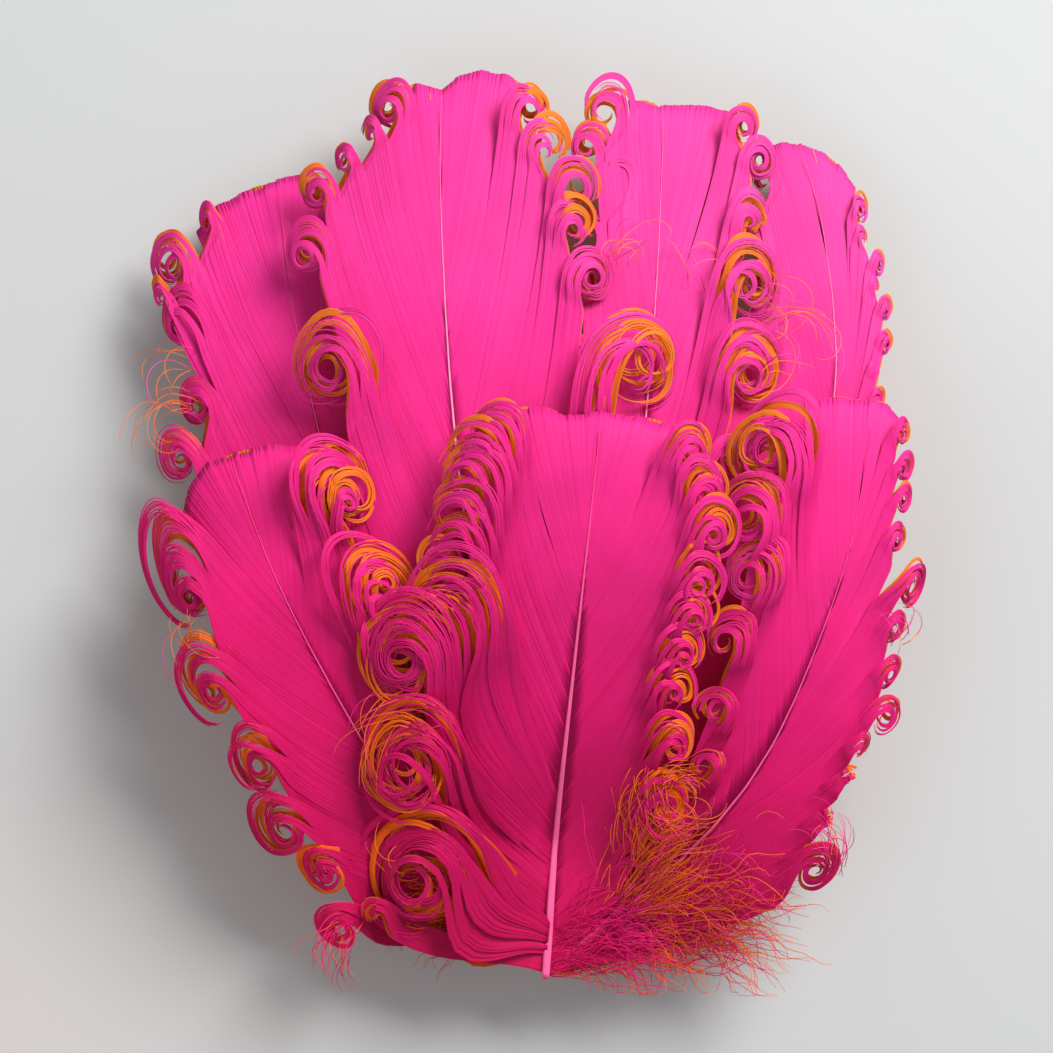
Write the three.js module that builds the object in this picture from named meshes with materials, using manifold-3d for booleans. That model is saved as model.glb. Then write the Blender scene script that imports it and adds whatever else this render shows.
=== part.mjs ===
// Curled goose-feather pad: a flat craft applique of seven pairs of trimmed, dyed goose feathers. Each pair
// is an orange feather with a pink one glued over it, and the edges of both are curled into locks. The quill
// ends are fixed in strips of hot glue on a stiff buckram oval, and felt covers the rear of the buckram.
//
// Millimetres, +Z up. The origin is the centre of the felt's rear face. The pad lies on its back: +Z points
// out of the front of the pad, and +Y runs from the quill ends to the feather tips.
import * as THREE from "three";
import { mergeVertices } from "three/addons/utils/BufferGeometryUtils.js";
import Module from "manifold-3d";

// ---- Driving dimensions ------------------------------------------------------------------------------

const FELT_HALF_WIDTH = 30;
const FELT_HALF_LENGTH = 41;
const FELT_THICKNESS = 1.5;
const BUCKRAM_THICKNESS = 0.8;
const BUCKRAM_MARGIN = 2; // the felt stands out past the buckram by this much all round
const FIT_GAP = 0.3; // between pieces that touch

const QUILL_BASE_RADIUS = 0.6;
const QUILL_TIP_RADIUS = 0.22;
const QUILL_PITCH = 2.3; // between neighbouring quill ends in one glue strip
const QUILL_STEPS = 12;
const QUILL_SIDES = 6;
const PLAN_STEPS = 12;

const VANE_THICKNESS = 0.35;
const VANE_STEPS_ACROSS = 3;
const LONGEST_VANE_STEP = 7; // along the quill, so that the vane follows the quill's bend
const LEVEL_PITCH = 1.5; // height between the feathers that lie over each other

const GLUE_COVER = 0.4; // glue between a quill's channel and the strip's surface
const GLUE_MARGIN = 1.6; // glue beside the outermost quill of a strip
const BACK_GLUE = { start: -36.6, end: -31.2, flare: 0.35 };
const FRONT_GLUE = { start: -40.6, end: -34, flare: 0.3 };
const GLUE_STEPS = 6;
const CHANNEL_RADIUS = QUILL_BASE_RADIUS + FIT_GAP;
const BACK_ROW_HEIGHT = FELT_THICKNESS + BUCKRAM_THICKNESS + GLUE_COVER + CHANNEL_RADIUS;
const ROW_PITCH = 2 * CHANNEL_RADIUS + 2 * GLUE_COVER + FIT_GAP;
const CENTRE_ROW_PITCH = 2 * CHANNEL_RADIUS + GLUE_COVER;
const CENTRE_PAIR_PITCH = 1.6; // height between the centre pair's two quill ends, which lie side by side

// The fan: every radius is measured from where the quills meet, at the pad's lower edge.
const FAN_ROOT = new THREE.Vector2(0.8, -44.3);
const FLAT_RADIUS = 11; // nearer the root than this, the quills lie flat in the glue
const FAN_SPREAD_RADIUS = 40; // past this the feathers have reached their own levels
const VANES_START_RADIUS = 29; // nearer the root, only the bare quills fit beside each other
const CENTRE_VANE_START = 13; // the centre pair lies over all the others, so its vanes start at the glue
const ARCH_HEIGHT = 13;
const ARCH_PEAK_RADIUS = 76;
const ARCH_SIDE_DROOP = 0.3; // share of the arch that is lost at ARCH_HALF_WIDTH
const ARCH_HALF_WIDTH = 60;

const LOBE_ANGLE = THREE.MathUtils.degToRad(30); // of a lobe's corners from its outermost point
const NOTCH_HEIGHT = 0.5; // of a notch over the line between its locks' eyes, as a share of their radius
const BASE_TAPER = 0.2; // how far the vane's lowest corner lies back from its first lobe towards the quill
const TIP_LENGTH = 2.5; // of the vane past the quill's end
const TIP_PARTING = 0.6; // half the parting between the two vanes of a feather at the tip
const UNDER_FEATHER_SHIFT = new THREE.Vector2(0.7, 1.1); // outwards and tipwards, so that orange shows
const UNDER_QUILL_OFFSET = 1.7; // the orange quill lies beside the pink one's line, not under it

const PINK = 0xff2f9c;
const ORANGE = 0xff8a12;
const PINK_QUILL = 0xff8fca;
const ORANGE_QUILL = 0xffb066;
const FELT_COLOR = 0xf2efe9;
const BUCKRAM_COLOR = 0xe6e1d6;
const GLUE_COLOR = 0xf3ead2;

// ---- The feathers ------------------------------------------------------------------------------------

// quill: the points that the quill's line passes through, from its end in the glue to its tip.
// left and right: the curled locks from the base to the tip, each [x, y of its eye, curl radius].
const FEATHERS = [
  {
    name: "back_right",
    level: 0,
    quill: [[6.9, -37.4], [28, -5], [44.5, 40], [44.6, 62], [42.3, 76], [40.4, 82.5]],
    left: [[24, 30, 3], [32, 62, 3], [34.4, 78, 2.4]],
    right: [
      [47, 26, 2.4], [53, 50.4, 2.1], [53.1, 58, 2.1], [52.5, 65.7, 2.1], [50.4, 73.3, 2.4],
      [46.6, 79.6, 1.6],
    ],
  },
  {
    name: "back_left",
    level: 0,
    quill: [[-4.9, -37.4], [-25, 8], [-38, 59.2], [-39.9, 76]],
    left: [
      [-51, 27, 3.4], [-53.4, 35.7, 4], [-52.4, 43.1, 4.1], [-54.7, 55.7, 4.3], [-56.2, 64.4, 4.6],
      [-50.7, 71.8, 2.4],
    ],
    right: [[-21, 38, 3], [-28, 58, 3], [-31, 70, 2.6]],
  },
  {
    name: "back_centre_right",
    level: 2,
    quill: [[3.4, -38.2], [12, 10], [17.3, 56.3], [18.9, 87.8]],
    left: [[3.5, 40, 3.4], [5.5, 62, 3.4], [9.3, 77.4, 3.4], [9.4, 86.3, 3]],
    right: [[29, 34, 4], [31.5, 47.6, 4.5], [32.1, 63.4, 6], [33.9, 80, 4], [31.6, 86.3, 2.8]],
  },
  {
    name: "back_centre_left",
    level: 4,
    quill: [[-1.8, -38.2], [-9, 10], [-13.1, 40.2], [-15.3, 80], [-15.1, 91]],
    left: [[-29, 32, 4], [-34, 47.6, 5.5], [-34.8, 66.9, 4.1], [-30.4, 78.6, 3.4], [-22.9, 88, 3.7]],
    right: [
      [9, 36, 4], [13.5, 50.4, 5.5], [8.1, 62.1, 4.1], [5.3, 69.8, 4], [3.1, 77.9, 4],
      [-1.5, 87.8, 3.7],
    ],
  },
  {
    name: "front_right",
    level: 6,
    quill: [[7.6, -41.5], [22, -25.5], [33.7, -10.8], [42.5, 9], [47.2, 23.7], [50, 40]],
    left: [
      [24.8, -10, 3.2], [26.6, 0, 3.4], [28.7, 10.7, 4.3], [30.8, 19.9, 4.5], [31.3, 27.5, 5],
      [34.8, 37, 6], [42.4, 42.4, 2.8],
    ],
    right: [
      [42, -27.8, 4.6], [50.9, -9, 3.8], [52.9, 1.4, 2.6], [54.6, 12.5, 3.2], [54.8, 21.6, 2.4],
      [55.4, 29, 2.4], [55.6, 36, 2.4], [53.6, 41.6, 2.2],
    ],
  },
  {
    name: "front_left",
    level: 6,
    quill: [[-5.3, -41.2], [-17, -23], [-28.1, -5.5], [-40.9, 19.4], [-46.4, 34.5]],
    left: [
      [-29.8, -35.4, 3.8], [-32.4, -28, 4.6], [-38.6, -19.9, 4.9], [-42.5, -11.2, 4.9],
      [-48.6, -0.3, 6.4], [-54.2, 13.7, 5.8], [-56.2, 24.4, 3.8], [-53.6, 32.6, 3.6],
    ],
    right: [[-18.5, 0, 4], [-20.5, 10.7, 5], [-25.2, 19.9, 5], [-29, 29, 5.8], [-36.6, 34.6, 3.4]],
  },
  {
    name: "front_centre",
    level: 8,
    quill: [[0.8, -44.3], [2.4, -22], [5.3, 6.1], [8.9, 39.5]],
    left: [
      [-17.6, -30.2, 8], [-19.9, -13, 7.6], [-20.6, 5.3, 8.8], [-16, 18.3, 4], [-13.4, 25.6, 4.5],
      [-13, 32.1, 4.5], [-9.6, 38.4, 4.2],
    ],
    right: [
      [19.1, -26, 4.6], [19.9, -16.8, 4.5], [20.6, -7.6, 4.6], [21.4, 0.2, 3.8], [22.9, 7.2, 3.6],
      [23.7, 14.6, 3.6], [26.3, 23.7, 4.5], [24.4, 33.6, 4.2], [17.6, 39.9, 3.2],
    ],
  },
];
const CENTRE_LEVEL = 8;
const FRONT_LEVEL = 6;

// ---- Heights -----------------------------------------------------------------------------------------

// The arch that all the feathers share: it rises from the glue and droops at the tips and sides.
function archHeight(x, y) {
  const radius = Math.hypot(x - FAN_ROOT.x, y - FAN_ROOT.y);
  const along =
    radius < ARCH_PEAK_RADIUS
      ? THREE.MathUtils.smoothstep(radius, FLAT_RADIUS, ARCH_PEAK_RADIUS)
      : 1 - ((radius - ARCH_PEAK_RADIUS) / ARCH_PEAK_RADIUS) ** 2;
  return ARCH_HEIGHT * along * (1 - ARCH_SIDE_DROOP * (x / ARCH_HALF_WIDTH) ** 2);
}

// Where a feather's quill end lies in the glue.
function rootHeight(feather, under) {
  if (feather.level === CENTRE_LEVEL)
    return BACK_ROW_HEIGHT + ROW_PITCH + CENTRE_ROW_PITCH + (under ? 0 : CENTRE_PAIR_PITCH);
  return BACK_ROW_HEIGHT + (feather.level === FRONT_LEVEL ? ROW_PITCH : 0);
}

// The height of a feather's middle surface.
function featherHeight(feather, under, x, y) {
  const radius = Math.hypot(x - FAN_ROOT.x, y - FAN_ROOT.y);
  const root = rootHeight(feather, under);
  const level = BACK_ROW_HEIGHT + LEVEL_PITCH * (feather.level + (under ? 0 : 1));
  const rise = THREE.MathUtils.smoothstep(radius, FLAT_RADIUS, FAN_SPREAD_RADIUS);
  return root + (level - root) * rise + archHeight(x, y);
}

// ---- Quills ------------------------------------------------------------------------------------------

// The quill's line seen from above. The orange feather's quill lies outside the pink one's, beside it.
function quillPlan(feather, under) {
  const outward = feather.quill[1][0] < feather.quill[0][0] ? -1 : 1;
  const pinkPoints = feather.quill.map(([x, y]) => new THREE.Vector3(x, y, 0));
  pinkPoints[0].x = quillEnd(feather, false);
  const pinkPlan = new THREE.CatmullRomCurve3(pinkPoints, false, "centripetal");
  if (!under) return pinkPlan;
  const points = pinkPlan.getSpacedPoints(PLAN_STEPS).map((point, i) => {
    const { x, y } = pinkPlan.getTangentAt(i / PLAN_STEPS);
    return point.add(new THREE.Vector3(y, -x, 0).multiplyScalar(outward * UNDER_QUILL_OFFSET));
  });
  points[0].set(quillEnd(feather, true), feather.quill[0][1], 0);
  return new THREE.CatmullRomCurve3(points, false, "centripetal");
}

// The quill ends lie side by side in their glue strip, in the order of the fan.
function quillEnd(feather, under) {
  if (feather.level === CENTRE_LEVEL) return feather.quill[0][0] + (under ? UNDER_QUILL_OFFSET : 0);
  const order = {
    back_left: -3, back_centre_left: -1, back_centre_right: 1, back_right: 3,
    front_left: -2, front_right: 2,
  }[feather.name];
  const outer = under ? Math.sign(order) / 2 : -Math.sign(order) / 2;
  return (order + outer) * QUILL_PITCH;
}

function quillCurve(feather, under) {
  const plan = quillPlan(feather, under);
  const points = plan.getSpacedPoints(QUILL_STEPS);
  points.forEach((p) => (p.z = featherHeight(feather, under, p.x, p.y)));
  return new THREE.CatmullRomCurve3(points, false, "centripetal");
}

const quillRadius = (t) => THREE.MathUtils.lerp(QUILL_BASE_RADIUS, QUILL_TIP_RADIUS, t);

// A tapered round rod along the curve: a lathed cone, bent so that its axis follows the curve.
function quillGeometry(curve, extra = 0) {
  const profile = [new THREE.Vector2(0, 0)];
  for (let i = 0; i <= QUILL_STEPS; i++)
    profile.push(new THREE.Vector2(quillRadius(i / QUILL_STEPS) + extra, i / QUILL_STEPS));
  profile.push(new THREE.Vector2(0, 1));
  const rod = new THREE.LatheGeometry(profile, QUILL_SIDES);
  const place = rod.attributes.position;
  const up = new THREE.Vector3(0, 0, 1);
  for (let i = 0; i < place.count; i++) {
    const t = place.getY(i);
    const tangent = curve.getTangentAt(t);
    const side = new THREE.Vector3().crossVectors(tangent, up).normalize();
    const normal = new THREE.Vector3().crossVectors(side, tangent);
    const point = curve.getPointAt(t);
    point.addScaledVector(side, place.getX(i)).addScaledVector(normal, place.getZ(i));
    place.setXYZ(i, point.x, point.y, point.z);
  }
  return rod;
}

// ---- Vanes -------------------------------------------------------------------------------------------

// The vane's outer edge from its base to the tip: each lock is a lobe, with a notch between two lobes.
function vaneOutline(feather, under, side, plan) {
  const shift = under ? UNDER_FEATHER_SHIFT : new THREE.Vector2();
  const locks = feather[side < 0 ? "left" : "right"];
  const eyes = locks.map(([x, y]) => new THREE.Vector2(x + side * shift.x, y + shift.y));
  const outline = eyes.flatMap((eye, i) => {
    const radius = locks[i][2];
    const tipward = eyes[Math.min(i + 1, eyes.length - 1)].clone().sub(eyes[Math.max(i - 1, 0)]).normalize();
    const outward = new THREE.Vector2(side * tipward.y, -side * tipward.x);
    const lobe = [-LOBE_ANGLE, LOBE_ANGLE].map((a) =>
      eye
        .clone()
        .addScaledVector(outward, radius * Math.cos(a))
        .addScaledVector(tipward, radius * Math.sin(a)),
    );
    if (i === 0) return lobe;
    const notchHeight = ((locks[i - 1][2] + radius) / 2) * NOTCH_HEIGHT;
    return [eyes[i - 1].clone().lerp(eye, 0.5).addScaledVector(outward, notchHeight), ...lobe];
  });
  const ahead = plan.getTangentAt(1);
  const end = plan.getPointAt(1).addScaledVector(ahead, TIP_LENGTH);
  const tip = new THREE.Vector2(
    end.x + side * TIP_PARTING * ahead.y,
    end.y - side * TIP_PARTING * ahead.x,
  );
  return [...outline, tip];
}

// The outline with the station on the quill where each of its points' barbs start, as [station, point].
function vaneEdge(feather, under, side, plan) {
  const first = (feather.level === CENTRE_LEVEL ? CENTRE_VANE_START : VANES_START_RADIUS) / plan.getLength();
  const outline = vaneOutline(feather, under, side, plan);
  const base = plan.getPointAt(first);
  outline.unshift(outline[0].clone().lerp(new THREE.Vector2(base.x, base.y), BASE_TAPER));
  const reached = [0];
  for (let i = 1; i < outline.length; i++)
    reached.push(reached[i - 1] + outline[i].distanceTo(outline[i - 1]));
  const stations = reached.map((length) => THREE.MathUtils.lerp(first, 1, length / reached.at(-1)));
  return outline.flatMap((point, i) => {
    if (i === 0) return [[stations[0], point]];
    const quillStep = (stations[i] - stations[i - 1]) * plan.getLength();
    const count = Math.ceil(quillStep / LONGEST_VANE_STEP);
    return Array.from({ length: count }, (_, k) => {
      const share = (k + 1) / count;
      return [
        THREE.MathUtils.lerp(stations[i - 1], stations[i], share),
        outline[i - 1].clone().lerp(point, share),
      ];
    });
  });
}

// One side of a feather: a thin plate between the quill and the lobed edge, laid on the feather's surface.
function vaneGeometry(feather, under, side) {
  const plan = quillPlan(feather, under);
  const edge = vaneEdge(feather, under, side, plan);
  const steps = edge.length - 1;
  const plate = new THREE.BoxGeometry(1, 1, 1, VANE_STEPS_ACROSS, steps, 1);
  const place = plate.attributes.position;
  for (let i = 0; i < place.count; i++) {
    const across = place.getX(i) * side + 0.5;
    const [station, outer] = edge[Math.round((place.getY(i) + 0.5) * steps)];
    const on = plan.getPointAt(station);
    const tangent = plan.getTangentAt(station);
    const gap = quillRadius(station) + FIT_GAP;
    const inner = new THREE.Vector2(on.x + side * tangent.y * gap, on.y - side * tangent.x * gap);
    const point = inner.lerp(outer, across);
    const z = featherHeight(feather, under, point.x, point.y) + place.getZ(i) * VANE_THICKNESS;
    place.setXYZ(i, point.x, point.y, z);
  }
  return plate;
}

// ---- Backing and glue --------------------------------------------------------------------------------

function ovalPlate(halfWidth, halfLength, thickness, bottom) {
  const outline = new THREE.Shape().absellipse(0, 0, halfWidth, halfLength, 0, 2 * Math.PI);
  const plate = new THREE.ExtrudeGeometry(outline, { depth: thickness, bevelEnabled: false, curveSegments: 32 });
  return plate.translate(0, 0, bottom);
}

// A strip of glue across a row of quills: a box whose top and bottom follow the given height functions, and
// which gets wider, as the row does, from the quills' ends on.
function glueBlock(glue, halfWidth, bottom, top) {
  const block = new THREE.BoxGeometry(1, 1, 1, GLUE_STEPS, GLUE_STEPS, 1);
  const place = block.attributes.position;
  for (let i = 0; i < place.count; i++) {
    const along = place.getY(i) + 0.5;
    const x = 2 * place.getX(i) * halfWidth * (1 + glue.flare * along);
    const y = THREE.MathUtils.lerp(glue.start, glue.end, along);
    place.setXYZ(i, x, y, place.getZ(i) > 0 ? top(x, y) : bottom(x, y));
  }
  return block;
}

const wasm = await Module();
wasm.setup();

function toSolid(geometry) {
  const bare = geometry.clone();
  bare.deleteAttribute("normal");
  bare.deleteAttribute("uv");
  const merged = mergeVertices(bare, 1e-4);
  return new wasm.Manifold(
    new wasm.Mesh({
      numProp: 3,
      vertProperties: merged.attributes.position.array,
      triVerts: new Uint32Array(merged.index.array),
    }),
  );
}

function toGeometry(solid) {
  const { vertProperties, triVerts } = solid.getMesh();
  const geometry = new THREE.BufferGeometry();
  geometry.setAttribute("position", new THREE.BufferAttribute(vertProperties, 3));
  geometry.setIndex(new THREE.BufferAttribute(triVerts, 1));
  geometry.computeVertexNormals();
  return geometry;
}

// A strip of glue with a channel for each quill that passes through it.
function glueStrip(strip, curves) {
  let solid = toSolid(strip);
  curves.forEach((curve) => (solid = solid.subtract(toSolid(quillGeometry(curve, FIT_GAP)))));
  return toGeometry(solid);
}

// ---- Assembly ----------------------------------------------------------------------------------------

const pad = new THREE.Group();

function add(name, geometry, color, roughness) {
  const mesh = new THREE.Mesh(geometry, new THREE.MeshStandardMaterial({ color, roughness, metalness: 0 }));
  mesh.name = name;
  pad.add(mesh);
}

const buckramBottom = FELT_THICKNESS;
const buckramTop = FELT_THICKNESS + BUCKRAM_THICKNESS;
add("felt_backing", ovalPlate(FELT_HALF_WIDTH, FELT_HALF_LENGTH, FELT_THICKNESS, 0), FELT_COLOR, 0.95);
add(
  "buckram_base",
  ovalPlate(FELT_HALF_WIDTH - BUCKRAM_MARGIN, FELT_HALF_LENGTH - BUCKRAM_MARGIN, BUCKRAM_THICKNESS, buckramBottom),
  BUCKRAM_COLOR,
  0.9,
);

const curves = new Map();
for (const feather of FEATHERS)
  for (const under of [true, false]) {
    const name = `${feather.name}_${under ? "orange" : "pink"}`;
    const curve = quillCurve(feather, under);
    curves.set(name, curve);
    add(`${name}_quill`, quillGeometry(curve), under ? ORANGE_QUILL : PINK_QUILL, 0.45);
    for (const side of [-1, 1])
      add(
        `${name}_${side < 0 ? "left" : "right"}_vane`,
        vaneGeometry(feather, under, side),
        under ? ORANGE : PINK,
        0.7,
      );
  }

// The back strip lies on the buckram. The front strip lies on the back strip and holds the centre pair too.
const centreFeather = FEATHERS.find((feather) => feather.level === CENTRE_LEVEL);
const highestBackFeather = FEATHERS.filter((feather) => feather.level < FRONT_LEVEL).at(-1);
const backGlueTop = (x, y) => featherHeight(highestBackFeather, false, x, y) + CHANNEL_RADIUS + GLUE_COVER;
const frontGlueBottom = (x, y) => backGlueTop(x, y) + FIT_GAP;
const frontGlueTop = (x, y) => featherHeight(centreFeather, false, x, y) + CHANNEL_RADIUS + GLUE_COVER;
add(
  "back_row_glue",
  glueStrip(
    glueBlock(BACK_GLUE, 3.5 * QUILL_PITCH + GLUE_MARGIN, () => buckramTop, backGlueTop),
    [...curves].filter(([name]) => name.startsWith("back_")).map(([, curve]) => curve),
  ),
  GLUE_COLOR,
  0.35,
);
add(
  "front_row_glue",
  glueStrip(
    glueBlock(FRONT_GLUE, 2.5 * QUILL_PITCH + GLUE_MARGIN, frontGlueBottom, frontGlueTop),
    [...curves].filter(([name]) => name.startsWith("front_")).map(([, curve]) => curve),
  ),
  GLUE_COLOR,
  0.35,
);

export default pad;
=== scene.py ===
"""The looks of the curled feather pad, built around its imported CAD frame.

Every feather is a quill with two vanes, and every vane is made of separate barbs. A vane's barbs leave the
quill side by side and are gathered into locks. Each lock curls round its own eye in a spiral.
"""

import math

import bpy
import numpy as np
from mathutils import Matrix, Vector


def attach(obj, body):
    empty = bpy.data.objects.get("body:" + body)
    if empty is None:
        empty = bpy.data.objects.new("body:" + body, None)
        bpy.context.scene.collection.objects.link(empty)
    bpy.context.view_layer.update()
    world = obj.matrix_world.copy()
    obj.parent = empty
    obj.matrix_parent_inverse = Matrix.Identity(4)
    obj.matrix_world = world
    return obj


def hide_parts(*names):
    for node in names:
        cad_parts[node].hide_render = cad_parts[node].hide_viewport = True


MM = 0.001

# ---- Driving values ----------------------------------------------------------------------------------

SEED = 7
FAN_ROOT = np.array([0.8, -44.3]) * MM  # where the quills meet
SIDE_DROOP = 1.08  # per metre: a feather's surface drops by this times x squared towards the pad's sides
FLOOR_CLEARANCE = 0.4 * MM
# These feathers' barbs rise by this much to pass over the glue.
GLUE_COVERS = {"front_centre": 2.2 * MM, "front_right": 5.4 * MM}
GLUE_COVER_END = 22 * MM  # from the fan's root
GLUE_COVER_FADE = 9 * MM

VANE_POINTS = 9  # of a barb, from the quill to where its lock starts to gather
GATHER_POINTS = 7  # from there to the lock's spiral
FLAT_POINTS = VANE_POINTS + GATHER_POINTS - 1
SPIRAL_POINTS = 25
CROWN_POINTS = 20
LOOSE_POINTS = 22  # of a barb of the down, or a stray one

# A barb's blade, in the flat vane, in the curl and at its tip, as (width, height).
PINK_BLADE = np.array([[0.52, 0.06], [0.19, 0.14], [0.08, 0.06]]) * MM
ORANGE_BLADE = np.array([[0.74, 0.06], [0.24, 0.16], [0.08, 0.06]]) * MM
PINK_BARB_PITCH = 0.3 * MM  # along the quill
ORANGE_BARB_PITCH = 0.44 * MM
RIBBON_BARB_PITCH = 0.115 * MM  # across a lock's ribbon
USUAL_RISE = 0.45  # of a lock's outermost arc towards the tip, as a share of its radius
SMALL_TILT = 20  # degrees that the smallest curls are steeper
TUFT_WIDTH = 0.95 * MM  # of the barbs that cling together in a ribbon
LOCK_OVERLAP = 0.15  # of a lock's barbs with those of the lock below, as a share of its radius
SPIRAL_SHRINK = 0.45  # of a curl's radius in each turn
ROOT_WIDTH = 0.6  # of a barb at the quill, as a share of its width in the vane
STRAY_SHARE = 0.025  # of the barbs of a lock leave its ribbon
LEAST_BAND = 0.6  # a ribbon's least width, as a share of its lock's radius
ORANGE_RISE = 0.8 * MM  # of the orange curls, into the gaps of the pink ones
ORANGE_SHIFT = 1.1 * MM  # of the orange curls' eyes, tipwards and half as far outwards
CROWN_DROOP = 2.4 * MM  # of the straight barbs' ends at the top of a feather
VANE_END = 0.84  # share of the quill that the barbs leave from, the last ones running up beyond its end

FELT_HALF_SIZE = np.array([30, 41]) * MM
FELT_THICKNESS = 1.5 * MM
FELT_EDGE_WANDER = 0.3 * MM  # how far the cut edge strays inside the oval
FELT_FIBRES = 2600
BUCKRAM_HALF_SIZE = np.array([28, 39]) * MM
BUCKRAM_THICKNESS = 0.8 * MM
BUCKRAM_THREAD_PITCH = 1.1 * MM
BUCKRAM_ENDS = 320

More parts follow.
